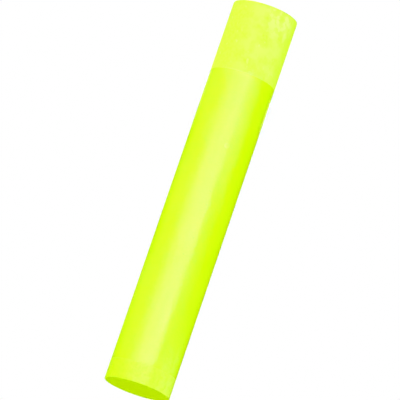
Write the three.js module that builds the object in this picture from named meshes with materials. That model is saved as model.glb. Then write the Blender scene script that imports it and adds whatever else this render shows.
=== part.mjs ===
// A straight juggling stick in the manner of a club: a round glossy tube with a long matt
// grip cap at one end, a short satin cap at the other, and a wooden core held on centre
// inside it by foam rings.
//
// Units are millimetres. The stick stands on its grip cap: the origin is the centre of the
// grip cap's base, and +Z runs along the stick's axis towards the end cap's flat face.

import * as THREE from "three";

// Outside of the stick. The three visible stretches share one diameter.
const LENGTH = 241;
const DIAMETER = 40;
const GRIP_COLLAR_LENGTH = 44;
const END_COLLAR_LENGTH = 12.2;
const EDGE_ROUND = 0.5;

// Body tube and the film shrunk round it.
const FILM_THICKNESS = 0.4;
const TUBE_WALL = 2;

// Caps.
const CAP_FLOOR = 4;
const SPIGOT_WALL = 2.4;
const GRIP_SPIGOT_LENGTH = 26;
const END_SPIGOT_LENGTH = 16;
const SPIGOT_LEAD_IN = 1.2;
const SOCKET_WALL = 2.5;
const SOCKET_DEPTH = 14;

// Wooden core and the foam rings that keep it on the axis.
const DOWEL_DIAMETER = 14;
const DOWEL_CHAMFER = 1;
const FOAM_RING_COUNT = 3;
const FOAM_RING_LENGTH = 12;

// Room left between pieces that are pushed together.
const SLIP_GAP = 0.1;
const BUTT_GAP = 0.05;
const END_GAP = 0.5;

// Facets round the axis, and along a quarter of a rounded edge.
const FACETS = 72;
const ROUND_STEPS = 4;

// Sizes that follow from the ones above.
const OUTER_RADIUS = DIAMETER / 2;
const TUBE_RADIUS = OUTER_RADIUS - FILM_THICKNESS - SLIP_GAP;
const BORE_RADIUS = TUBE_RADIUS - TUBE_WALL;
const SPIGOT_RADIUS = BORE_RADIUS - SLIP_GAP;
const SPIGOT_BORE_RADIUS = SPIGOT_RADIUS - SPIGOT_WALL;
const DOWEL_RADIUS = DOWEL_DIAMETER / 2;
const SOCKET_BORE_RADIUS = DOWEL_RADIUS + SLIP_GAP;
const SOCKET_RADIUS = SOCKET_BORE_RADIUS + SOCKET_WALL;
const END_SHOULDER_Z = LENGTH - END_COLLAR_LENGTH;
const TUBE_BOTTOM_Z = GRIP_COLLAR_LENGTH + BUTT_GAP;
const TUBE_TOP_Z = END_SHOULDER_Z - BUTT_GAP;
const DOWEL_BOTTOM_Z = CAP_FLOOR + END_GAP;
const DOWEL_TOP_Z = LENGTH - CAP_FLOOR - END_GAP;

const FINISHES = {
  grip: { color: 0xe6ff58, roughness: 0.85, metalness: 0 },
  film: { color: 0xdcff1e, roughness: 0.22, metalness: 0 },
  endCap: { color: 0xbee601, roughness: 0.45, metalness: 0 },
  tube: { color: 0xe9e9e2, roughness: 0.4, metalness: 0 },
  beech: { color: 0xc99b66, roughness: 0.65, metalness: 0 },
  foam: { color: 0xd8d8d4, roughness: 0.95, metalness: 0 },
};

function point(radius, z) {
  return new THREE.Vector2(radius, z);
}

// A quarter-round edge about its centre, from one angle to another, in degrees.
function quarterRound(radius, z, size, fromDegrees, toDegrees) {
  const arc = [];
  for (let step = 0; step <= ROUND_STEPS; step += 1) {
    const share = step / ROUND_STEPS;
    const angle = THREE.MathUtils.degToRad(fromDegrees + (toDegrees - fromDegrees) * share);
    arc.push(point(radius + size * Math.cos(angle), z + size * Math.sin(angle)));
  }
  return arc;
}

// Revolves a half section, given anticlockwise in (radius, z), about the Z axis.
function turned(name, section, finish) {
  const geometry = new THREE.LatheGeometry(section, FACETS);
  geometry.rotateX(Math.PI / 2);
  const mesh = new THREE.Mesh(geometry, new THREE.MeshStandardMaterial(finish));
  mesh.name = name;
  return mesh;
}

// A plain ring, whose section is a rectangle closed on itself.
function ring(name, innerRadius, outerRadius, bottomZ, topZ, finish) {
  const section = [
    point(innerRadius, bottomZ),
    point(outerRadius, bottomZ),
    point(outerRadius, topZ),
    point(innerRadius, topZ),
    point(innerRadius, bottomZ),
  ];
  return turned(name, section, finish);
}

// Half section of a cap standing on its closed face: collar, spigot and dowel socket.
function capSection(collarLength, spigotLength) {
  const spigotTop = collarLength + spigotLength;
  const socketTop = CAP_FLOOR + SOCKET_DEPTH;
  return [
    point(0, 0),
    ...quarterRound(OUTER_RADIUS - EDGE_ROUND, EDGE_ROUND, EDGE_ROUND, -90, 0),
    point(OUTER_RADIUS, collarLength),
    point(SPIGOT_RADIUS, collarLength),
    point(SPIGOT_RADIUS, spigotTop - SPIGOT_LEAD_IN),
    point(SPIGOT_RADIUS - SPIGOT_LEAD_IN, spigotTop),
    point(SPIGOT_BORE_RADIUS, spigotTop),
    point(SPIGOT_BORE_RADIUS, CAP_FLOOR),
    point(SOCKET_RADIUS, CAP_FLOOR),
    point(SOCKET_RADIUS, socketTop),
    point(SOCKET_BORE_RADIUS, socketTop),
    point(SOCKET_BORE_RADIUS, CAP_FLOOR),
    point(0, CAP_FLOOR),
  ];
}

// The same section hung from the top end, kept anticlockwise by running it backwards.
function fromTop(section) {
  return section.map((corner) => point(corner.x, LENGTH - corner.y)).reverse();
}

function makeGripCap() {
  return turned("grip_cap", capSection(GRIP_COLLAR_LENGTH, GRIP_SPIGOT_LENGTH), FINISHES.grip);
}

function makeEndCap() {
  const section = fromTop(capSection(END_COLLAR_LENGTH, END_SPIGOT_LENGTH));
  return turned("end_cap", section, FINISHES.endCap);
}

function makeBodyTube() {
  return ring("body_tube", BORE_RADIUS, TUBE_RADIUS, TUBE_BOTTOM_Z, TUBE_TOP_Z, FINISHES.tube);
}

function makeWrapFilm() {
  const innerRadius = OUTER_RADIUS - FILM_THICKNESS;
  return ring("wrap_film", innerRadius, OUTER_RADIUS, TUBE_BOTTOM_Z, TUBE_TOP_Z, FINISHES.film);
}

function makeCoreDowel() {
  const section = [
    point(0, DOWEL_BOTTOM_Z),
    point(DOWEL_RADIUS - DOWEL_CHAMFER, DOWEL_BOTTOM_Z),
    point(DOWEL_RADIUS, DOWEL_BOTTOM_Z + DOWEL_CHAMFER),
    point(DOWEL_RADIUS, DOWEL_TOP_Z - DOWEL_CHAMFER),
    point(DOWEL_RADIUS - DOWEL_CHAMFER, DOWEL_TOP_Z),
    point(0, DOWEL_TOP_Z),
  ];
  return turned("core_dowel", section, FINISHES.beech);
}

// Foam rings spaced evenly along the tube between the two spigots.
function makeFoamRings() {
  const rings = new THREE.Group();
  const innerRadius = DOWEL_RADIUS + SLIP_GAP;
  const outerRadius = BORE_RADIUS - SLIP_GAP;
  const freeBottomZ = GRIP_COLLAR_LENGTH + GRIP_SPIGOT_LENGTH;
  const freeTopZ = END_SHOULDER_Z - END_SPIGOT_LENGTH;
  const pitch = (freeTopZ - freeBottomZ) / FOAM_RING_COUNT;
  for (let index = 0; index < FOAM_RING_COUNT; index += 1) {
    const bottomZ = freeBottomZ + pitch * (index + 0.5) - FOAM_RING_LENGTH / 2;
    const topZ = bottomZ + FOAM_RING_LENGTH;
    const name = `foam_ring_${index + 1}`;
    rings.add(ring(name, innerRadius, outerRadius, bottomZ, topZ, FINISHES.foam));
  }
  return rings;
}

const stick = new THREE.Group();
stick.add(
  makeGripCap(),
  makeBodyTube(),
  makeWrapFilm(),
  makeEndCap(),
  makeCoreDowel(),
  makeFoamRings(),
);

export default stick;
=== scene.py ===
"""Visual model of a straight fluorescent juggling stick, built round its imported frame.

The stick stands on its long matt grip cap with its short end cap up. Each piece is spun from
its half section, given its small surface forms, dressed in a procedural finish, and rides on
the frame's one body. Lengths are in metres unless a name ends in _mm.
"""

from __future__ import annotations

import logging
import math
from dataclasses import dataclass, field
from enum import Enum
from typing import Any, ClassVar

import bmesh
import bpy
from mathutils import Matrix, Vector, noise

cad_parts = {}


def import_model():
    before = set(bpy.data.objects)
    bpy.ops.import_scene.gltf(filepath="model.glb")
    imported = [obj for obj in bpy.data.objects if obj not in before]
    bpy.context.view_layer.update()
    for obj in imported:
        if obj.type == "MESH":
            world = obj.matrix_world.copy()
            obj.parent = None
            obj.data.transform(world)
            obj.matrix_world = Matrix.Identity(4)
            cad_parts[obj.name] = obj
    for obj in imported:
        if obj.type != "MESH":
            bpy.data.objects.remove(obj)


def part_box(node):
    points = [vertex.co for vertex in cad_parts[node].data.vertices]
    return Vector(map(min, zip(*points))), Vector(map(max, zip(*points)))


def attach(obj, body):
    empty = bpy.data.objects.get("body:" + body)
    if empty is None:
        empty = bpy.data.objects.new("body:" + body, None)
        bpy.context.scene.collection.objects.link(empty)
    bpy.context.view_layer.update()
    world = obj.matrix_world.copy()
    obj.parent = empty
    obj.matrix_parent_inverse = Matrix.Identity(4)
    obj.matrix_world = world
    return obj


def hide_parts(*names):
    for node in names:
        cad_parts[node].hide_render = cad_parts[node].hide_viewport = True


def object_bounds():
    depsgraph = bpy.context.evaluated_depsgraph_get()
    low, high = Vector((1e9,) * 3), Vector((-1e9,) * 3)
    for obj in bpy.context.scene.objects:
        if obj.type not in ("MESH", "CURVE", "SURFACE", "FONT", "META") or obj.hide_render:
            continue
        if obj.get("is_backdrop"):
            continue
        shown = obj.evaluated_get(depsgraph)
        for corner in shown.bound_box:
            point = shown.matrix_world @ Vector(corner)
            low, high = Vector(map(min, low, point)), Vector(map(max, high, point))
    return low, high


LOG = logging.getLogger("juggling_stick")

MM = 0.001
BODY = "root"
WELD = 0.001 * MM
HOOP_SLACK = 0.005 * MM
ROUNDING_SEGMENTS = 5
FLAT_FACE_WEIGHT = 100
FLOOR_RADIUS = 12.0
FLOOR_FACETS = 96
SENSOR_MM = 36.0
SIGHT_LIMIT = 30.0

LEVEL_ONLY = (1.0, 1.0, 0.0)
EASED = {"interpolation_type": "SMOOTHSTEP"}
# The Mix node repeats its input names for each kind of data, so its colour inputs go by number.
MIX_FACTOR, MIX_UNDER, MIX_OVER = 0, 6, 7


class Slot(Enum):
    """Material slots of the record."""

    GRIP = "grip_elastomer"
    FILM = "fluorescent_film"
    CAP = "fluorescent_plastic"
    TUBE = "tube_plastic"
    BEECH = "beech"
    FOAM = "foam"


# ---------------------------------------------------------------------------
# Nodes and masks
# ---------------------------------------------------------------------------


def linear(hex_colour: str) -> tuple[float, float, float, float]:
    """Turns an sRGB hex colour into linear RGBA.

    Args:
        hex_colour: Six hex digits, such as "E6FF58".

    Returns:
        Red, green and blue in linear light, and an alpha of 1.
    """
    channels = []
    for start in (0, 2, 4):
        value = int(hex_colour[start : start + 2], 16) / 255
        channels.append(value / 12.92 if value <= 0.04045 else ((value + 0.055) / 1.055) ** 2.4)
    return (channels[0], channels[1], channels[2], 1.0)


def per_mm(feature_mm: float) -> float:
    """Gives a texture's scale for Object coordinates from the size of one feature in mm."""
    return 1.0 / (feature_mm * MM)


def add_node(
    tree: bpy.types.NodeTree,
    kind: str,
    settings: dict[str, Any] | None = None,
    inputs: dict[str | int, Any] | None = None,
) -> bpy.types.Node:
    """Adds a node, sets its properties, and fills or links its inputs.

    Args:
        tree: Node tree of a material or world.
        kind: Node type without its "ShaderNode" prefix, such as "TexNoise".
        settings: Properties of the node itself.
        inputs: Input name or number, to a value, to an output socket, or to a node whose
            first output in use is linked.

    Returns:
        The new node.
    """
    node = tree.nodes.new("ShaderNode" + kind)
    for name, value in (settings or {}).items():
        setattr(node, name, value)
    for name, value in (inputs or {}).items():
        if isinstance(value, bpy.types.Node):
            value = next(socket for socket in value.outputs if socket.enabled)
        if isinstance(value, bpy.types.NodeSocket):
            tree.links.new(value, node.inputs[name])
        else:
            node.inputs[name].default_value = value
    return node


def compass(azimuth: float) -> Vector:
    """Gives the level direction at an azimuth round the stick: 0 is -Y and 90 is -X."""
    angle = math.radians(azimuth)
    return Vector((-math.sin(angle), -math.cos(angle), 0.0))


@dataclass(frozen=True)
class Cloud:
    """A pattern of soft random patches.

    Attributes:
        size_mm: Size of one patch.
        low: Noise level that becomes 0 in the mask.
        high: Noise level that becomes 1 in the mask.
        detail: Octaves of finer noise on top.
        stretch: Density of the patches along X, Y and Z. Below 1 draws them out.
    """

    size_mm: float
    low: float = 0.3
    high: float = 0.7
    detail: float = 3.0
    stretch: tuple[float, float, float] = (1.0, 1.0, 1.0)


@dataclass(frozen=True)
class Side:
    """One side of the stick, as angles about its axis in degrees.

    Attributes:
        azimuth: Direction of its middle: 0 is -Y and 90 is -X.
        reach: Angle from its middle at which the mask is 0.
        core: Angle from its middle at which the mask is 1.
    """

    azimuth: float
    reach: float
    core: float


@dataclass
class Canvas:
    """Lays out where a finish changes, as masks from 0 to 1 over the stick.

    Attributes:
        tree: Node tree that the nodes go into.
        where: Object coordinates, in metres.
    """

    tree: bpy.types.NodeTree
    where: bpy.types.NodeSocket

    def cloud(self, cloud: Cloud) -> bpy.types.Node:
        """Masks soft random patches.

        Args:
            cloud: Size and kind of the patches.

        Returns:
            The mask.
        """
        placed = add_node(
            self.tree, "Mapping", inputs={"Vector": self.where, "Scale": cloud.stretch}
        )
        noisy = add_node(
            self.tree,
            "TexNoise",
            inputs={"Vector": placed, "Scale": per_mm(cloud.size_mm), "Detail": cloud.detail},
        )
        limits = {"Value": noisy, "From Min": cloud.low, "From Max": cloud.high}
        return add_node(self.tree, "MapRange", EASED, limits)

    def height(self, start: float, end: float) -> bpy.types.Node:
        """Masks the length of the stick.

        Args:
            start: Height at which the mask is 0.
            end: Height at which the mask is 1.

        Returns:
            The mask.
        """
        parts = add_node(self.tree, "SeparateXYZ", inputs={"Vector": self.where})
        limits = {"Value": parts.outputs["Z"], "From Min": start, "From Max": end}
        return add_node(self.tree, "MapRange", EASED, limits)

    def radius(self, start: float, end: float) -> bpy.types.Node:
        """Masks the distance from the axis.

        Args:
            start: Radius at which the mask is 0.
            end: Radius at which the mask is 1.

        Returns:
            The mask.
        """
        reach = add_node(self.tree, "VectorMath", {"operation": "LENGTH"}, {0: self.level()})
        limits = {"Value": reach, "From Min": start, "From Max": end}
        return add_node(self.tree, "MapRange", EASED, limits)

    def side(self, side: Side) -> bpy.types.Node:
        """Masks one side of the stick.

        Args:
            side: Its direction and width.

        Returns:
            The mask.
        """
        outward = add_node(self.tree, "VectorMath", {"operation": "NORMALIZE"}, {0: self.level()})
        facing = add_node(
            self.tree,
            "VectorMath",
            {"operation": "DOT_PRODUCT"},
            {0: outward, 1: compass(side.azimuth)},
        )
        limits = {
            "Value": facing,
            "From Min": math.cos(math.radians(side.reach)),
            "From Max": math.cos(math.radians(side.core)),
        }
        return add_node(self.tree, "MapRange", EASED, limits)

    def spot(self, centre: Vector, reach: float, core: float) -> bpy.types.Node:
        """Masks a round spot.

        Args:
            centre: Its middle.
            reach: Distance from there at which the mask is 0.
            core: Distance from there at which the mask is 1.

        Returns:
            The mask.
        """
        gap = add_node(
            self.tree, "VectorMath", {"operation": "DISTANCE"}, {0: self.where, 1: centre}
        )
        limits = {"Value": gap, "From Min": reach, "From Max": core}
        return add_node(self.tree, "MapRange", EASED, limits)

    def level(self) -> bpy.types.Node:
        """Gives the way out from the axis, with its height left out."""
        return add_node(
            self.tree, "VectorMath", {"operation": "MULTIPLY"}, {0: self.where, 1: LEVEL_ONLY}
        )

    def overlap(self, *masks: bpy.types.Node | float) -> bpy.types.Node:
        """Finds where all of some masks meet.

        Args:
            *masks: Masks, and plain shares of 1 that weaken them.

        Returns:
            Their product.
        """
        product = masks[0]
        for mask in masks[1:]:
            product = add_node(
                self.tree, "Math", {"operation": "MULTIPLY"}, {0: product, 1: mask}
            )
        return product

    def together(self, *masks: bpy.types.Node) -> bpy.types.Node:
        """Finds where any of some masks is.

        Args:
            *masks: The masks.

        Returns:
            The highest of them at each point.
        """
        union = masks[0]
        for mask in masks[1:]:
            union = add_node(self.tree, "Math", {"operation": "MAXIMUM"}, {0: union, 1: mask})
        return union

    def coated(self, base: str, *coats: tuple[bpy.types.Node, str]) -> bpy.types.Node:
        """Lays coats of colour over a base.

        Args:
            base: Hex colour of the base.
            *coats: Mask and hex colour of each coat, from the lowest up.

        Returns:
            The node that gives the finished colour.
        """
        tone: Any = linear(base)
        for mask, colour in coats:
            tone = add_node(
                self.tree,
                "Mix",
                {"data_type": "RGBA"},
                {MIX_FACTOR: mask, MIX_UNDER: tone, MIX_OVER: linear(colour)},
            )
        return tone


# ---------------------------------------------------------------------------
# Finishes
# ---------------------------------------------------------------------------

# Fluorescent dye glows most where a surface turns away, along the outline of the stick.
DYE_GLOW = {"Sheen Weight": 0.65, "Sheen Roughness": 0.3, "Sheen Tint": linear("D4FF00")}


@dataclass(frozen=True)
class Finish:
    """A finish of one real material.

    Attributes:
        label: Name of the material, after the real stuff.
        constants: Shader sockets that hold the same value all over the surface.
        smoothest: Roughness where the finish is at its smoothest.
        roughest: Roughness where it is at its dullest.
    """

    label: ClassVar[str]
    constants: ClassVar[dict[str, Any]] = {}
    smoothest: float = field(kw_only=True)
    roughest: float = field(kw_only=True)

    def material(self) -> bpy.types.Material:
        """Makes the material.

        Returns:
            A node material with its patterns linked to one shader.
        """
        made = bpy.data.materials.new(self.label)
        made.use_nodes = True
        tree = made.node_tree
        tree.nodes.clear()
        where = add_node(tree, "TexCoord").outputs["Object"]
        inputs = self.constants | self.paint(Canvas(tree, where))
        shader = add_node(tree, "BsdfPrincipled", inputs=inputs)
        add_node(tree, "OutputMaterial", inputs={"Surface": shader})
        return made

    def paint(self, canvas: Canvas) -> dict[str, bpy.types.Node]:
        """Builds the patterns.

        Args:
            canvas: Maker of masks and colours.

        Returns:
            Shader input name, to the node that it is linked from.
        """
        raise NotImplementedError

    def dulled(self, canvas: Canvas, mask: bpy.types.Node) -> bpy.types.Node:
        """Gives the roughness: the smoothest where a mask is 0, the roughest where it is 1."""
        levels = {"Value": mask, "To Min": self.smoothest, "To Max": self.roughest}
        return add_node(canvas.tree, "MapRange", inputs=levels)


@dataclass(frozen=True)
class GripElastomer(Finish):
    """Matt moulded elastomer, dusty and rubbed by hands.

    The open, dry surface scatters white, so the fluorescent yellow reads pale and even, with
    cloudy smudges where chalk and skin have been. Dust is kept to the side facing the key
    lights, where it also stands for a paler painted sheen, and the side away from them is
    painted darker as painted shade. Its real grain is finer: it is drawn as coarse as it
    needs to show.
    """

    label: ClassVar[str] = "matt thermoplastic elastomer"
    constants: ClassVar[dict[str, Any]] = {"Specular IOR Level": 0.2, "IOR": 1.48}

    clean: str = "D3FB38"
    dust_and_sheen: str = "DAFC62"
    chalky: str = "E3FD8C"
    darkened: str = "D0F62C"
    mottle: Cloud = Cloud(1.6, 0.34, 0.66, detail=2.0)
    mottle_share: float = 0.3
    dust: Cloud = Cloud(7.0, 0.30, 0.66)
    # Side that faces the key lights: the dust there also paints a paler painted sheen.
    sheen_side: Side = Side(22.0, 68.0, 12.0)
    smudge: Cloud = Cloud(4.0, 0.44, 0.62)
    smudged_side: Side = Side(34.0, 40.0, 4.0)
    smudge_start: float = 26.0 * MM
    smudge_full: float = 4.0 * MM
    dabs: Cloud = Cloud(2.4, 0.66, 0.78, detail=1.0, stretch=(1.0, 1.0, 0.7))
    dab_share: float = 0.6
    chalk_share: float = 0.7
    # The last millimetre above the base is coloured darker.
    rim_start: float = 1.0 * MM
    rim_full: float = 0.4 * MM
    # Side away from the brighter lights, painted darker as painted shade.
    shaded_side: Side = Side(92.0, 46.0, 12.0)
    shade_share: float = 0.9
    smoothest: float = field(default=0.80, kw_only=True)
    roughest: float = field(default=0.92, kw_only=True)
    grain: Cloud = Cloud(0.9, detail=1.0)
    grain_depth_mm: float = 0.008

    def paint(self, canvas: Canvas) -> dict[str, bpy.types.Node]:
        """Paints mottle, dust and painted sheen, chalk, a darker base rim and painted side shade.

        Args:
            canvas: Maker of masks and colours.

        Returns:
            Shader input name, to the node that it is linked from.
        """
        mottle = canvas.overlap(canvas.cloud(self.mottle), self.mottle_share)
        dust = canvas.cloud(self.dust)
        # Painted shade on the side away from the brighter lights.
        darkened = canvas.overlap(canvas.side(self.shaded_side), self.shade_share)
        return {
            "Base Color": canvas.coated(
                self.clean,
                (mottle, self.dust_and_sheen),
                # Dust on the side facing the lights, which also stands for painted sheen.
                (canvas.overlap(dust, canvas.side(self.sheen_side)), self.dust_and_sheen),
                (canvas.overlap(self.chalk(canvas), self.chalk_share), self.chalky),
                (canvas.height(self.rim_start, self.rim_full), self.darkened),
                (darkened, self.darkened),
            ),
            "Roughness": self.dulled(canvas, dust),
            "Normal": add_node(
                canvas.tree,
                "Bump",
                inputs={
                    "Height": canvas.cloud(self.grain),
                    "Distance": self.grain_depth_mm * MM,
                },
            ),
        }

    def chalk(self, canvas: Canvas) -> bpy.types.Node:
        """Masks the chalk: a broad smudge near the end of the grip and small dabs elsewhere.

        Args:
            canvas: Maker of masks and colours.

        Returns:
            The mask.
        """
        near_end = canvas.overlap(
            canvas.side(self.smudged_side), canvas.height(self.smudge_start, self.smudge_full)
        )
        broad = canvas.overlap(near_end, canvas.cloud(self.smudge))
        dabs = canvas.overlap(canvas.cloud(self.dabs), self.dab_share)
        return canvas.together(broad, dabs)


@dataclass(frozen=True)
class ShrinkFilm(Finish):
    """Glossy fluorescent film shrunk on to the tube.

    A smooth calendered face gives one long soft-edged highlight. A faint orange peel and
    handling haze soften it, and dust shut under the film shows as specks. By the end cap one
    side has pale scuffs that also carry a painted reflected glow, and the ring round the air
    blister is a painted highlight over whiter trapped air. The real peel is finer: it is
    drawn as coarse as it needs to show.

    Attributes:
        blister: Centre of the air blister.
        blister_radius: Radius of the blister.
        specks: Centres of the dust specks.
        ring_foot: Outer edge of the ring round the blister, as a share of its radius.
        ring_crest: Where the ring is brightest, as a share of the blister's radius.
        ring_middle: Where the dip inside the ring is deepest, as a share of that radius.
        ring_dip: Share of the ring's strength that the dip takes away.
    """

    label: ClassVar[str] = "gloss fluorescent vinyl film"
    constants: ClassVar[dict[str, Any]] = {"Specular IOR Level": 0.5, "IOR": 1.5} | DYE_GLOW

    blister: Vector
    blister_radius: float
    specks: tuple[Vector, ...]
    deep: str = "D0FF00"
    bright: str = "D3FF06"
    # Colour of the blister's ring: whiter trapped air and a painted highlight.
    air_and_glint: str = "DCFF48"
    dirt: str = "BCE400"
    # Paler colour of the scuffs, which also stands for a painted reflected glow.
    scuff_and_glow: str = "DCFF58"
    drift: Cloud = Cloud(22.0, 0.35, 0.65)
    speck_reach: float = 0.8 * MM
    speck_core: float = 0.1 * MM
    speck_share: float = 0.5
    speck_depth_mm: float = 0.1
    haze: Cloud = Cloud(3.0, 0.2, 0.8)
    # Side by the end cap with pale scuffs that also carry a painted reflected glow.
    glow_side: Side = Side(46.0, 28.0, 4.0)
    haze_start: float = 206.0 * MM
    haze_full: float = 232.0 * MM
    haze_share: float = 0.6
    ring_foot: float = 1.15
    ring_crest: float = 0.75
    ring_middle: float = 0.15
    ring_dip: float = 0.6
    ring_share: float = 0.5
    rubbing: Cloud = Cloud(3.0, stretch=(1.0, 1.0, 0.4))
    smoothest: float = field(default=0.19, kw_only=True)
    roughest: float = field(default=0.26, kw_only=True)
    waves: Cloud = Cloud(7.0, 0.2, 0.8, detail=0.0)
    wave_depth_mm: float = 0.012
    peel: Cloud = Cloud(1.3, 0.2, 0.8, detail=1.0)
    peel_depth_mm: float = 0.045

    def paint(self, canvas: Canvas) -> dict[str, bpy.types.Node]:
        """Paints the tone, the end cap's scuffs with painted glow, the specks and the blister.

        Args:
            canvas: Maker of masks and colours.

        Returns:
            Shader input name, to the node that it is linked from.
        """
        grit = self.grit(canvas)
        return {
            "Base Color": canvas.coated(
                self.deep,
                (canvas.cloud(self.drift), self.bright),
                # Scuffs by the end cap, paler also as a painted reflected glow.
                (self.end_scuff_and_glow(canvas), self.scuff_and_glow),
                (canvas.overlap(grit, self.speck_share), self.dirt),
                # Painted highlight ring round the blister, over whiter trapped air.
                (self.glint_ring(canvas), self.air_and_glint),
            ),
            "Roughness": self.dulled(canvas, canvas.cloud(self.rubbing)),
            "Normal": self.relief(canvas, grit),
        }

    def relief(self, canvas: Canvas, grit: bpy.types.Node) -> bpy.types.Node:
        """Lays slow waves, then the pits of the specks, then the orange peel.

        Args:
            canvas: Maker of masks and colours.
            grit: Mask of the specks.

        Returns:
            The node that gives the finished normal.
        """
        waves = add_node(
            canvas.tree,
            "Bump",
            inputs={"Height": canvas.cloud(self.waves), "Distance": self.wave_depth_mm * MM},
        )
        pits = add_node(
            canvas.tree,
            "Bump",
            {"invert": True},
            {"Height": grit, "Distance": self.speck_depth_mm * MM, "Normal": waves},
        )
        return add_node(
            canvas.tree,
            "Bump",
            inputs={
                "Height": canvas.cloud(self.peel),
                "Distance": self.peel_depth_mm * MM,
                "Normal": pits,
            },
        )

    def grit(self, canvas: Canvas) -> bpy.types.Node:
        """Masks the specks of dust shut under the film."""
        spots = [canvas.spot(speck, self.speck_reach, self.speck_core) for speck in self.specks]
        return canvas.together(*spots)

    def end_scuff_and_glow(self, canvas: Canvas) -> bpy.types.Node:
        """Masks the side by the end cap with dull scuffs that also carry a painted reflected
        glow.
        """
        return canvas.overlap(
            canvas.side(self.glow_side),
            canvas.height(self.haze_start, self.haze_full),
            canvas.cloud(self.haze),
            self.haze_share,
        )

    def glint_ring(self, canvas: Canvas) -> bpy.types.Node:
        """Masks the bright ring at the foot of the air blister: painted highlight on trapped air.

        Args:
            canvas: Maker of masks and colours.

        Returns:
            The mask.
        """
        foot = self.blister_radius * self.ring_foot
        crest = self.blister_radius * self.ring_crest
        middle = self.blister_radius * self.ring_middle
        disc = canvas.spot(self.blister, foot, crest)
        dip = canvas.overlap(canvas.spot(self.blister, crest, middle), self.ring_dip)
        ring = add_node(canvas.tree, "Math", {"operation": "SUBTRACT"}, {0: disc, 1: dip})
        return canvas.overlap(ring, self.ring_share)


@dataclass(frozen=True)
class SatinPolypropylene(Finish):
    """Fluorescent polypropylene moulded against a spark-eroded tool, with scuffs from landings.

    It has the film's colour but a broken, mottled sheen. Its side towards the key lights is
    painted paler in patches as a painted sheen, the side beyond has pale scuffs that also
    carry a painted reflected glow, and it whitens where its rim is worn. Its real grain is
    finer: it is drawn as coarse as it needs to show.

    Attributes:
        rim: Radius of the side.
        top: Height of the flat end face.
        glossiest: Specular level between the pits.
        dullest: Specular level in the pits.
        face_start: Depth below the end face at which the face's own colour starts.
        face_full: Depth at which it is full.
        wear_reach: Distance in from the rim, along both faces, that the edge wear reaches.
        wear_core: Distance in from the rim at which the wear is full.
    """

    label: ClassVar[str] = "satin fluorescent polypropylene"
    constants: ClassVar[dict[str, Any]] = {"IOR": 1.49} | DYE_GLOW

    rim: float
    top: float
    deep: str = "CFFD00"
    pitted: str = "C6F000"
    # Paler colour of the painted sheen patches.
    bright: str = "D5FF28"
    scuff_and_glow: str = "DCFF5C"
    face: str = "CFFF00"
    worn: str = "DDFF40"
    mottle: Cloud = Cloud(1.8, 0.46, 0.62)
    mottle_share: float = 0.7
    sheen_bloom: Cloud = Cloud(1.4, 0.36, 0.66)
    # Side towards the key lights, painted paler in patches as painted sheen.
    lit_side: Side = Side(24.0, 72.0, 24.0)
    scuff: Cloud = Cloud(3.2, 0.2, 0.65)
    # Side with pale scuffs, which also carries a painted reflected glow.
    scuff_glow_side: Side = Side(52.0, 36.0, 6.0)
    scuff_share: float = 0.6
    face_start: float = 0.2 * MM
    face_full: float = 0.02 * MM
    wear: Cloud = Cloud(1.6, 0.42, 0.6)
    wear_reach: float = 0.9 * MM
    wear_core: float = 0.2 * MM
    wear_share: float = 0.5
    glossiest: float = 0.38
    dullest: float = 0.16
    smoothest: float = field(default=0.30, kw_only=True)
    roughest: float = field(default=0.46, kw_only=True)
    grain: Cloud = Cloud(1.1, detail=1.0)
    grain_depth_mm: float = 0.03

    def paint(self, canvas: Canvas) -> dict[str, bpy.types.Node]:
        """Paints mottle, painted sheen, scuffs with painted glow, the clean end face and worn
        rim.

        Args:
            canvas: Maker of masks and colours.

        Returns:
            Shader input name, to the node that it is linked from.
        """
        mottle = canvas.cloud(self.mottle)
        # Painted sheen: paler patches on the side towards the key lights.
        sheen_bloom = canvas.overlap(canvas.cloud(self.sheen_bloom), canvas.side(self.lit_side))
        # Scuffs on the far side, paler also as a painted reflected glow.
        scuffs_with_glow = canvas.overlap(
            canvas.side(self.scuff_glow_side), canvas.cloud(self.scuff), self.scuff_share
        )
        on_face = canvas.height(self.top - self.face_start, self.top - self.face_full)
        return {
            "Base Color": canvas.coated(
                self.deep,
                (canvas.overlap(mottle, self.mottle_share), self.pitted),
                (sheen_bloom, self.bright),
                (scuffs_with_glow, self.scuff_and_glow),
                (on_face, self.face),
                (self.edge_wear(canvas), self.worn),
            ),
            "Specular IOR Level": add_node(
                canvas.tree,
                "MapRange",
                inputs={"Value": mottle, "To Min": self.glossiest, "To Max": self.dullest},
            ),
            "Roughness": self.dulled(canvas, mottle),
            "Normal": add_node(
                canvas.tree,
                "Bump",
                inputs={
                    "Height": canvas.cloud(self.grain),
                    "Distance": self.grain_depth_mm * MM,
                },
            ),
        }

    def edge_wear(self, canvas: Canvas) -> bpy.types.Node:
        """Masks the worn patches on the rounded rim between the side and the end face."""
        return canvas.overlap(
            canvas.radius(self.rim - self.wear_reach, self.rim - self.wear_core),
            canvas.height(self.top - self.wear_reach, self.top - self.wear_core),
            canvas.cloud(self.wear),
            self.wear_share,
        )


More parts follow.
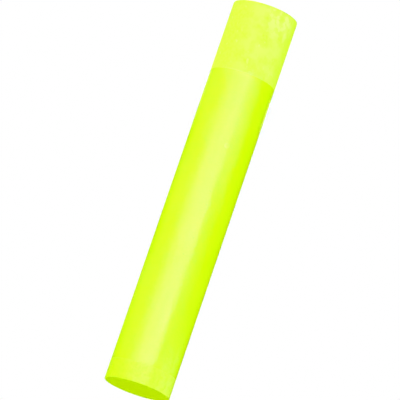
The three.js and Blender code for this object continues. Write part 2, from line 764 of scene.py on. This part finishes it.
@dataclass(frozen=True)
class ExtrudedTube(Finish):
    """Off-white extruded polyethylene, with faint die lines along its length."""

    label: ClassVar[str] = "extruded polyethylene"

    light: str = "ECECE4"
    shade: str = "DEDED2"
    die_lines: Cloud = Cloud(0.8, stretch=(1.0, 1.0, 0.01))
    line_depth_mm: float = 0.01
    smoothest: float = field(default=0.35, kw_only=True)
    roughest: float = field(default=0.5, kw_only=True)

    def paint(self, canvas: Canvas) -> dict[str, bpy.types.Node]:
        """Paints the die lines, drawn out along the axis.

        Args:
            canvas: Maker of masks and colours.

        Returns:
            Shader input name, to the node that it is linked from.
        """
        lines = canvas.cloud(self.die_lines)
        return {
            "Base Color": canvas.coated(self.light, (lines, self.shade)),
            "Roughness": self.dulled(canvas, lines),
            "Normal": add_node(
                canvas.tree,
                "Bump",
                inputs={"Height": lines, "Distance": self.line_depth_mm * MM},
            ),
        }


@dataclass(frozen=True)
class SandedBeech(Finish):
    """Turned and sanded beech: warm, straight-grained, with short dark flecks."""

    label: ClassVar[str] = "sanded beech"

    early: str = "D9B184"
    late: str = "C2925F"
    fleck: str = "8E6238"
    growth_bands: Cloud = Cloud(1.6, 0.35, 0.65, stretch=(1.0, 1.0, 0.03))
    ray_flecks: Cloud = Cloud(0.5, 0.6, 0.7, detail=1.0, stretch=(1.0, 1.0, 0.2))
    fleck_depth_mm: float = 0.03
    smoothest: float = field(default=0.55, kw_only=True)
    roughest: float = field(default=0.7, kw_only=True)

    def paint(self, canvas: Canvas) -> dict[str, bpy.types.Node]:
        """Paints growth bands and flecks that run along the rod.

        Args:
            canvas: Maker of masks and colours.

        Returns:
            Shader input name, to the node that it is linked from.
        """
        bands = canvas.cloud(self.growth_bands)
        flecks = canvas.cloud(self.ray_flecks)
        return {
            "Base Color": canvas.coated(self.early, (bands, self.late), (flecks, self.fleck)),
            "Roughness": self.dulled(canvas, bands),
            "Normal": add_node(
                canvas.tree,
                "Bump",
                {"invert": True},
                {"Height": flecks, "Distance": self.fleck_depth_mm * MM},
            ),
        }


@dataclass(frozen=True)
class CutFoam(Finish):
    """White closed-cell polyethylene foam, cut so that its cells stand open.

    Attributes:
        cell_edge: Distance from a cell's middle, in cells, at which its pit starts.
        cell_floor: Distance at which the pit is at its deepest.
    """

    label: ClassVar[str] = "closed-cell polyethylene foam"

    wall: str = "EDEDE8"
    # Colour of the cell pits: painted shade.
    cell: str = "C9C9C2"
    cell_mm: float = 1.0
    cell_edge: float = 0.55
    cell_floor: float = 0.1
    cell_depth_mm: float = 0.15
    smoothest: float = field(default=0.85, kw_only=True)
    roughest: float = field(default=0.98, kw_only=True)

    def paint(self, canvas: Canvas) -> dict[str, bpy.types.Node]:
        """Paints the open cells, with painted shade in their pits.

        Args:
            canvas: Maker of masks and colours.

        Returns:
            Shader input name, to the node that it is linked from.
        """
        cells = add_node(
            canvas.tree,
            "TexVoronoi",
            inputs={"Vector": canvas.where, "Scale": per_mm(self.cell_mm)},
        )
        limits = {"Value": cells, "From Min": self.cell_edge, "From Max": self.cell_floor}
        pits = add_node(canvas.tree, "MapRange", EASED, limits)
        return {
            # The pits are painted darker as painted shade.
            "Base Color": canvas.coated(self.wall, (pits, self.cell)),
            "Roughness": self.dulled(canvas, pits),
            "Normal": add_node(
                canvas.tree,
                "Bump",
                {"invert": True},
                {"Height": pits, "Distance": self.cell_depth_mm * MM},
            ),
        }


# ---------------------------------------------------------------------------
# Turned pieces
# ---------------------------------------------------------------------------


@dataclass(frozen=True)
class Corner:
    """A corner of a half section.

    Attributes:
        radius: Distance from the axis.
        height: Height above the stick's base.
        rounding: Size of the rounded edge spun from it, or 0 for none.
    """

    radius: float
    height: float
    rounding: float = 0.0


@dataclass
class TurnedPiece:
    """A piece spun about the stick's axis from its half section.

    Attributes:
        name: Name of the piece.
        node: CAD node that it stands for.
        slot: Material slot of the record. Not used.
        finish: Finish that it is given.
        facets: Number of flats round it.
    """

    name: str
    node: str
    slot: Slot
    finish: Finish
    facets: int = field(default=160, kw_only=True)

    def section(self) -> list[Corner]:
        """Gives the half section, in order round it."""
        raise NotImplementedError

    def is_ring(self) -> bool:
        """Tells whether the section closes on itself, clear of the axis."""
        return False

    def build(self) -> bpy.types.Object:
        """Spins, rounds and dresses the piece.

        Returns:
            The finished object, riding on the frame.
        """
        shape = bmesh.new()
        corners = self.section()
        self.spin(shape, corners)
        self.round_hoops(shape, corners)
        self.work_surface(shape)
        bmesh.ops.recalc_face_normals(shape, faces=shape.faces)
        mesh = bpy.data.meshes.new(self.name)
        shape.to_mesh(mesh)
        shape.free()
        mesh.polygons.foreach_set("use_smooth", [True] * len(mesh.polygons))
        mesh.materials.append(self.finish.material())
        piece = bpy.data.objects.new(self.name, mesh)
        bpy.context.scene.collection.objects.link(piece)
        # Large flat and round faces keep their own shading next to the small rounded edges.
        shading = piece.modifiers.new("even_shading", "WEIGHTED_NORMAL")
        shading.weight = FLAT_FACE_WEIGHT
        shading.keep_sharp = True
        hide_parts(self.node)
        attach(piece, BODY)
        LOG.info("%s: %d faces of %s", self.name, len(mesh.polygons), self.finish.label)
        return piece

    def spin(self, shape: bmesh.types.BMesh, corners: list[Corner]) -> None:
        """Draws the half section and spins it through a full turn.

        Args:
            shape: Mesh that it is made in.
            corners: The half section.
        """
        points = [shape.verts.new((c.radius, 0.0, c.height)) for c in corners]
        pairs = list(zip(points, points[1:]))
        if self.is_ring():
            pairs.append((points[-1], points[0]))
        edges = [shape.edges.new(pair) for pair in pairs]
        bmesh.ops.spin(
            shape,
            geom=points + edges,
            cent=(0.0, 0.0, 0.0),
            axis=(0.0, 0.0, 1.0),
            angle=math.tau,
            steps=self.facets,
            use_merge=True,
        )
        bmesh.ops.remove_doubles(shape, verts=shape.verts, dist=WELD)

    def round_hoops(self, shape: bmesh.types.BMesh, corners: list[Corner]) -> None:
        """Rounds the hoops spun from the corners that ask for it, and leaves the rest sharp.

        Args:
            shape: Mesh of the spun piece.
            corners: The half section.
        """
        for corner in corners:
            hoop = [edge for edge in shape.edges if on_hoop(edge, corner)]
            if corner.rounding <= 0.0:
                for edge in hoop:
                    edge.smooth = False
                continue
            bmesh.ops.bevel(
                shape,
                geom=hoop,
                offset=corner.rounding,
                offset_type="OFFSET",
                affect="EDGES",
                segments=ROUNDING_SEGMENTS,
                profile=0.5,
                material=-1,
            )

    def work_surface(self, shape: bmesh.types.BMesh) -> None:
        """Adds form beyond the plain turning; most pieces have none."""


def on_hoop(edge: bmesh.types.BMEdge, corner: Corner) -> bool:
    """Tells whether an edge lies on the hoop that a corner was spun into."""
    return all(
        abs(vert.co.z - corner.height) < HOOP_SLACK
        and abs(vert.co.xy.length - corner.radius) < HOOP_SLACK
        for vert in edge.verts
    )


@dataclass
class Cap(TurnedPiece):
    """A closed cap: a collar flush with the body, a spigot for the tube, a core socket.

    Attributes:
        radius: Radius of the collar.
        face: Height of the closed face.
        shoulder: Height at which the collar meets the body.
        spigot_radius: Radius of the spigot.
        spigot_end: Height of the spigot's open end.
        core_radius: Radius of the wooden core.
        edge: Size of the rounded edge round the closed face.
        lead_in: Size of the chamfer on the spigot's end.
        floor: Thickness of the closed end.
        wall: Thickness of the spigot's wall and of the socket's.
        core_room: Gap round the core in its socket.
        socket_depth: Depth of the core's socket.
    """

    radius: float
    face: float
    shoulder: float
    spigot_radius: float
    spigot_end: float
    core_radius: float
    edge: float = field(default=0.5 * MM, kw_only=True)
    lead_in: float = field(default=1.2 * MM, kw_only=True)
    floor: float = field(default=4.0 * MM, kw_only=True)
    wall: float = field(default=2.4 * MM, kw_only=True)
    core_room: float = field(default=0.1 * MM, kw_only=True)
    socket_depth: float = field(default=14.0 * MM, kw_only=True)

    def section(self) -> list[Corner]:
        """Gives the section from the middle of the closed face round to the socket's floor.

        Returns:
            The corners in order.
        """
        inward = 1.0 if self.spigot_end > self.face else -1.0
        floor = self.face + inward * self.floor
        socket_mouth = floor + inward * self.socket_depth
        socket_bore = self.core_radius + self.core_room
        socket_outside = socket_bore + self.wall
        spigot_bore = self.spigot_radius - self.wall
        return [
            Corner(0.0, self.face),
            Corner(self.radius, self.face, self.edge),
            Corner(self.radius, self.shoulder),
            Corner(self.spigot_radius, self.shoulder),
            Corner(self.spigot_radius, self.spigot_end - inward * self.lead_in),
            Corner(self.spigot_radius - self.lead_in, self.spigot_end),
            Corner(spigot_bore, self.spigot_end),
            Corner(spigot_bore, floor),
            Corner(socket_outside, floor),
            Corner(socket_outside, socket_mouth),
            Corner(socket_bore, socket_mouth),
            Corner(socket_bore, floor),
            Corner(0.0, floor),
        ]


@dataclass
class Ring(TurnedPiece):
    """A tube or ring with square ends.

    Attributes:
        inner: Radius of the bore.
        outer: Radius of the outside.
        low: Height of the lower end.
        high: Height of the upper end.
        rounding: Size of its rounded edges, or 0 for square ones.
    """

    inner: float
    outer: float
    low: float
    high: float
    rounding: float = 0.0

    def is_ring(self) -> bool:
        """A ring's section closes on itself."""
        return True

    def section(self) -> list[Corner]:
        """Gives the four corners of the wall."""
        return [
            Corner(self.inner, self.low, self.rounding),
            Corner(self.outer, self.low, self.rounding),
            Corner(self.outer, self.high, self.rounding),
            Corner(self.inner, self.high, self.rounding),
        ]


@dataclass
class FilmSleeve(Ring):
    """The shrunk film: a thin ring, very slightly rippled, with one small air blister.

    Attributes:
        blister: Centre of the blister on the surface.
        blister_radius: Radius of the blister.
        blister_rise: Height of the blister.
        blister_cuts: Cuts that each edge near the blister gets.
        blister_margin: How far they reach, in radii of the blister.
        ripple: Height of the ripple.
        ripple_length: Size of one ripple.
        hoops: Number of hoops that the outside is cut into.
    """

    blister: Vector = field(kw_only=True)
    blister_radius: float = field(kw_only=True)
    blister_rise: float = field(default=0.14 * MM, kw_only=True)
    blister_cuts: int = field(default=3, kw_only=True)
    blister_margin: float = field(default=1.6, kw_only=True)
    ripple: float = field(default=0.02 * MM, kw_only=True)
    ripple_length: float = field(default=14.0 * MM, kw_only=True)
    hoops: int = field(default=110, kw_only=True)

    def work_surface(self, shape: bmesh.types.BMesh) -> None:
        """Cuts the outside into hoops, ripples it and raises the blister.

        Args:
            shape: Mesh of the spun sleeve.
        """
        runs = [edge for edge in shape.edges if self.is_run(edge)]
        bmesh.ops.subdivide_edges(shape, edges=runs, cuts=self.hoops, use_grid_fill=True)
        near = [edge for edge in shape.edges if all(map(self.is_near_blister, edge.verts))]
        bmesh.ops.subdivide_edges(
            shape, edges=near, cuts=self.blister_cuts, use_grid_fill=True
        )
        for vert in shape.verts:
            if self.is_outside(vert):
                self.shift(vert)

    def is_outside(self, vert: bmesh.types.BMVert) -> bool:
        """Tells whether a vertex is on the outside, off its chords by no more than a facet."""
        return vert.co.xy.length > (self.inner + self.outer) / 2

    def is_near_blister(self, vert: bmesh.types.BMVert) -> bool:
        """Tells whether an outside vertex is within the margin round the blister."""
        reach = self.blister_margin * self.blister_radius
        return self.is_outside(vert) and (vert.co - self.blister).length < reach

    def is_run(self, edge: bmesh.types.BMEdge) -> bool:
        """Tells whether an edge runs along the outside, from one end to the other."""
        first, second = edge.verts
        return abs(first.co.z - second.co.z) > WELD and self.is_outside(first)

    def shift(self, vert: bmesh.types.BMVert) -> None:
        """Moves one outside vertex along its radius by the ripple and the blister.

        Args:
            vert: The vertex.
        """
        spot = vert.co / self.ripple_length
        end_gap = min(vert.co.z - self.low, self.high - vert.co.z)
        fade = min(1.0, end_gap / self.ripple_length)
        rise = self.ripple * fade * (noise.noise(spot) - 0.5)
        share = (vert.co - self.blister).length / self.blister_radius
        if share < 1.0:
            rise += self.blister_rise * (1.0 - share**2) ** 2
        outward = Vector((vert.co.x, vert.co.y, 0.0)).normalized()
        vert.co = outward * (self.outer + rise) + Vector((0.0, 0.0, vert.co.z))


@dataclass
class Dowel(TurnedPiece):
    """The wooden core: a round rod with its ends chamfered.

    Attributes:
        radius: Radius of the rod.
        low: Height of the lower end.
        high: Height of the upper end.
        chamfer: Size of the end chamfers.
    """

    radius: float
    low: float
    high: float
    chamfer: float = 1.0 * MM

    def section(self) -> list[Corner]:
        """Gives the section from the lower end to the upper one."""
        return [
            Corner(0.0, self.low),
            Corner(self.radius - self.chamfer, self.low),
            Corner(self.radius, self.low + self.chamfer),
            Corner(self.radius, self.high - self.chamfer),
            Corner(self.radius - self.chamfer, self.high),
            Corner(0.0, self.high),
        ]


# ---------------------------------------------------------------------------
# The stick
# ---------------------------------------------------------------------------


@dataclass(frozen=True)
class Spot:
    """A place on the stick's outside.

    Attributes:
        azimuth: Direction from the axis, in degrees: 0 is -Y and 90 is -X.
        height_mm: Height above the base.
    """

    azimuth: float
    height_mm: float

    def on(self, radius: float) -> Vector:
        """Gives the point at this place on a cylinder of some radius."""
        return compass(self.azimuth) * radius + Vector((0.0, 0.0, self.height_mm * MM))


@dataclass
class Stick:
    """All the pieces of the stick, with the sizes that the frame gives.

    Attributes:
        blister: Place of the air blister.
        blister_radius: Radius of the blister.
        specks: Places of the dust specks.
        film_facets: Number of flats round the film.
        tube_wall: Thickness of the tube's wall.
        core_room: Gap between the core and the foam rings.
        foam_rounding: Size of the foam rings' rounded edges.
        foam_nodes: CAD nodes of the foam rings.
    """

    blister: Spot = Spot(10.8, 89.5)
    blister_radius: float = 1.7 * MM
    specks: tuple[Spot, ...] = (
        Spot(9.2, 118.5),
        Spot(10.6, 127.0),
        Spot(7.8, 148.5),
        Spot(0.6, 159.5),
        Spot(-24.0, 63.0),
    )
    film_facets: int = 192
    tube_wall: float = 2.0 * MM
    core_room: float = 0.1 * MM
    foam_rounding: float = 0.8 * MM
    foam_nodes: tuple[str, ...] = ("foam_ring_1", "foam_ring_2", "foam_ring_3")

    def build(self) -> None:
        """Builds the outside first, then what it holds."""
        for piece in (*self.caps(), self.film(), self.tube(), self.core(), *self.foam_rings()):
            piece.build()

    def caps(self) -> tuple[Cap, Cap]:
        """Lays out both caps.

        Returns:
            The long matt grip cap and the short satin end cap.
        """
        grip_low, grip_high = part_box("grip_cap")
        end_low, end_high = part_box("end_cap")
        film_low, film_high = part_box("wrap_film")
        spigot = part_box(self.foam_nodes[0])[1].x
        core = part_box("core_dowel")[1].x
        radius = grip_high.x
        grip = Cap(
            "grip_cap_moulding",
            "grip_cap",
            Slot.GRIP,
            GripElastomer(),
            radius,
            grip_low.z,
            film_low.z,
            spigot,
            grip_high.z,
            core,
        )
        end = Cap(
            "end_cap_moulding",
            "end_cap",
            Slot.CAP,
            SatinPolypropylene(radius, end_high.z),
            radius,
            end_high.z,
            film_high.z,
            spigot,
            end_low.z,
            core,
        )
        return grip, end

    def film(self) -> FilmSleeve:
        """Lays out the shrunk film.

        Returns:
            The film with its blister and specks.
        """
        low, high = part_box("wrap_film")
        radius = high.x
        blister = self.blister.on(radius)
        specks = tuple(spot.on(radius) for spot in self.specks)
        return FilmSleeve(
            "wrap_film_sleeve",
            "wrap_film",
            Slot.FILM,
            ShrinkFilm(blister, self.blister_radius, specks),
            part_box("body_tube")[1].x,
            radius,
            low.z,
            high.z,
            blister=blister,
            blister_radius=self.blister_radius,
            facets=self.film_facets,
        )

    def tube(self) -> Ring:
        """Lays out the rigid tube under the film.

        Returns:
            The tube.
        """
        low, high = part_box("body_tube")
        inner = high.x - self.tube_wall
        return Ring(
            "body_tube_wall", "body_tube", Slot.TUBE, ExtrudedTube(), inner, high.x, low.z, high.z
        )

    def core(self) -> Dowel:
        """Lays out the wooden rod through the middle."""
        low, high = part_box("core_dowel")
        return Dowel(
            "core_dowel_rod", "core_dowel", Slot.BEECH, SandedBeech(), high.x, low.z, high.z
        )

    def foam_rings(self) -> list[Ring]:
        """Lays out the foam rings that centre the core.

        Returns:
            The rings, from the lowest up.
        """
        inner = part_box("core_dowel")[1].x + self.core_room
        rings = []
        for node in self.foam_nodes:
            low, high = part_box(node)
            ring = Ring(f"{node}_cut", node, Slot.FOAM, CutFoam(), inner, high.x, low.z, high.z)
            ring.rounding = self.foam_rounding
            rings.append(ring)
        return rings


# ---------------------------------------------------------------------------
# Studio
# ---------------------------------------------------------------------------


@dataclass(frozen=True)
class Viewpoint:
    """Where the camera stands and how it is turned.

    Attributes:
        distance: From the stick's middle to the camera.
        elevation: Height of the sight line above the horizon, in degrees.
        lean: Lean of the stick in the picture, clockwise from upside down, in degrees.
        lens_mm: Focal length.
        aim_right_mm: Offset of the aim point to the picture's right.
        aim_up_mm: Offset of the aim point to the picture's top.
    """

    distance: float = 2.6
    elevation: float = 13.07
    lean: float = 18.91
    lens_mm: float = 395.8
    aim_right_mm: float = -1.05
    aim_up_mm: float = -0.385

    def place(self, middle: Vector) -> None:
        """Makes the camera and gives it to the scene.

        Args:
            middle: The stick's middle.
        """
        height = math.radians(self.elevation)
        back = Vector((0.0, -math.cos(height), math.sin(height)))
        level_right = Vector((1.0, 0.0, 0.0))
        level_up = back.cross(level_right)
        turn = math.radians(180.0 - self.lean)
        right = level_right * math.cos(turn) - level_up * math.sin(turn)
        up = level_right * math.sin(turn) + level_up * math.cos(turn)
        aim = middle + right * self.aim_right_mm * MM + up * self.aim_up_mm * MM
        axes = Matrix((right, up, back)).transposed()
        camera = bpy.data.objects.new("camera", bpy.data.cameras.new("camera"))
        camera.matrix_world = Matrix.Translation(aim + back * self.distance) @ axes.to_4x4()
        camera.data.sensor_width = SENSOR_MM
        camera.data.lens = self.lens_mm
        camera.data.clip_end = SIGHT_LIMIT
        bpy.context.scene.collection.objects.link(camera)
        bpy.context.scene.camera = camera


@dataclass(frozen=True)
class Panel:
    """An upright soft panel that faces the stick and lights its gloss.

    Attributes:
        name: Name of the light.
        start: Azimuth of one side as seen from the stick, in degrees: 0 is -Y and 90 is -X.
        end: Azimuth of its other side, in degrees.
        radiance: Brightness of its face, where a white wall in the tent is about 1.
        low: Height of its lower edge.
        high: Height of its upper edge.
        distance: From the stick's axis to the panel's face.
        tint: Colour of its tubes.
    """

    name: str
    start: float
    end: float
    radiance: float
    low: float
    high: float
    distance: float = 1.0
    tint: str = "D5E8FF"

    def hang(self) -> None:
        """Makes the light and turns it to the stick."""
        outward = compass((self.start + self.end) / 2)
        middle = Vector((0.0, 0.0, (self.low + self.high) / 2))
        lamp = bpy.data.lights.new(self.name, "AREA")
        lamp.shape = "RECTANGLE"
        lamp.color = linear(self.tint)[:3]
        lamp.size = 2 * self.distance * math.tan(math.radians((self.end - self.start) / 2))
        lamp.size_y = self.high - self.low
        lamp.energy = self.radiance * lamp.size * lamp.size_y * math.pi
        light = hung(lamp, outward)
        light.location = middle + outward * self.distance
        light.visible_diffuse = False


@dataclass(frozen=True)
class Strip:
    """A tall strip of the light wall, with its own brightness above and below a split.

    Attributes:
        name: Name of the strip.
        start: Azimuth of one side, in degrees, as for a panel.
        end: Azimuth of its other side, in degrees.
        upper: Brightness of its upper panel.
        lower: Brightness of its lower panel.
        top: Height of its upper edge.
        split: Height at which its panels meet.
        bottom: Height of its lower edge.
    """

    name: str
    start: float
    end: float
    upper: float
    lower: float
    top: float = 0.58
    split: float = -0.12
    bottom: float = -0.82

    def hang(self) -> None:
        """Hangs both panels."""
        span = (self.start, self.end)
        Panel(f"{self.name}_upper", *span, self.upper, self.split, self.top).hang()
        Panel(f"{self.name}_lower", *span, self.lower, self.bottom, self.split).hang()


@dataclass(frozen=True)
class HalfDome:
    """Half of the sky round the stick, which lights its colour and not its gloss.

    Attributes:
        name: Name of the light.
        towards: Direction of the half dome's middle, from the stick.
        radiance: Brightness of the half dome.
    """

    name: str
    towards: Vector
    radiance: float

    def hang(self) -> None:
        """Makes the light and turns it to the stick."""
        lamp = bpy.data.lights.new(self.name, "SUN")
        lamp.angle = math.pi
        lamp.energy = self.radiance * math.pi
        light = hung(lamp, self.towards)
        light.visible_glossy = False


def hung(lamp: bpy.types.Light, outward: Vector) -> bpy.types.Object:
    """Adds a light to the scene, turned back towards the stick.

    Args:
        lamp: Light data.
        outward: Direction from the stick to the light.

    Returns:
        The light's object, still at the origin.
    """
    # With these off, each light reaches only the lobe that it is meant for.
    lamp.cycles.use_multiple_importance_sampling = False
    light = bpy.data.objects.new(lamp.name, lamp)
    light.rotation_euler = (-outward).to_track_quat("-Z", "Y").to_euler()
    bpy.context.scene.collection.objects.link(light)
    return light


@dataclass
class Studio:
    """A white tent and floor for even light, and soft panels for the highlights.

    The panels reach below the floor's level, because an upright surface seen from above
    mirrors what lies below the horizon; the floor doesn't hide them from the stick.

    Attributes:
        viewpoint: The camera's place.
        strips: The light wall round the front, and two single panels.
        tent_radiance: Mean brightness of the tent.
        tent_lean: How much brighter the tent is towards X, Y and Z.
    """

    viewpoint: Viewpoint = Viewpoint()
    strips: tuple[Strip | Panel, ...] = (
        Strip("key", -8.0, 28.0, 5.0, 3.9),
        Strip("key_left", -34.0, -8.0, 3.7, 3.2),
        Strip("left_near", -50.0, -34.0, 2.1, 2.3),
        Strip("left_fill", -66.0, -50.0, 1.2, 1.4),
        Strip("left_side", -84.0, -66.0, 0.65, 0.8),
        Strip("left_far", -106.0, -84.0, 0.3, 0.3),
        Strip("left_rim", -150.0, -106.0, 0.13, 0.13),
        Strip("right_near", 28.0, 48.0, 0.75, 1.9),
        Strip("right_fill", 48.0, 72.0, 0.25, 1.1),
        Panel("end_glow", 56.0, 118.0, 1.0, 0.165, 0.42, 0.3),
        Panel("back_light", 158.0, 202.0, 4.0, -0.95, -0.2),
    )
    tent_radiance: float = 1.14
    tent_lean: Vector = field(default_factory=lambda: Vector((0.065, -0.03, -0.19)))

    def build(self, middle: Vector) -> None:
        """Builds the studio round the stick.

        Args:
            middle: The stick's middle.
        """
        self.lay_floor()
        self.pitch_tent()
        for strip in self.strips:
            strip.hang()
        self.viewpoint.place(middle)
        bpy.context.scene.view_settings.view_transform = "Standard"

    def lay_floor(self) -> None:
        """Lays a plain floor of opal acrylic that glows white, as a light table does."""
        shape = bmesh.new()
        bmesh.ops.create_circle(
            shape, cap_ends=True, radius=FLOOR_RADIUS, segments=FLOOR_FACETS
        )
        mesh = bpy.data.meshes.new("floor")
        shape.to_mesh(mesh)
        shape.free()
        opal = bpy.data.materials.new("opal acrylic")
        opal.use_nodes = True
        opal.node_tree.nodes.clear()
        glow = add_node(opal.node_tree, "Emission", inputs={"Color": linear("FFFFFF")})
        add_node(opal.node_tree, "OutputMaterial", inputs={"Surface": glow})
        mesh.materials.append(opal)
        floor = bpy.data.objects.new("floor", mesh)
        bpy.context.scene.collection.objects.link(floor)
        floor.visible_diffuse = False
        floor.visible_glossy = False
        floor.visible_shadow = False
        floor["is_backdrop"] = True

    def pitch_tent(self) -> None:
        """Surrounds the stick with even light from two half domes, before a white backdrop."""
        lean = self.tent_lean
        HalfDome("bright_half_dome", lean, self.tent_radiance + lean.length).hang()
        HalfDome("dim_half_dome", -lean, self.tent_radiance - lean.length).hang()
        backdrop = bpy.data.worlds.new("white_backdrop")
        backdrop.use_nodes = True
        tree = backdrop.node_tree
        tree.nodes.clear()
        white = add_node(tree, "Background", inputs={"Color": linear("FFFFFF")})
        add_node(tree, "OutputWorld", inputs={"Surface": white})
        backdrop.cycles_visibility.diffuse = False
        backdrop.cycles_visibility.glossy = False
        bpy.context.scene.world = backdrop


def corners(box: tuple[Vector, Vector]) -> list[list[float]]:
    """Turns a box into plain lists of numbers."""
    return [list(corner) for corner in box]


def main() -> None:
    """Loads the frame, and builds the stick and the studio."""
    logging.basicConfig(level=logging.INFO, format="%(name)s: %(message)s")
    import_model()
    frame_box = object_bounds()
    Stick().build()
    Studio().build((frame_box[0] + frame_box[1]) / 2)


if __name__ == "__main__":
    main()
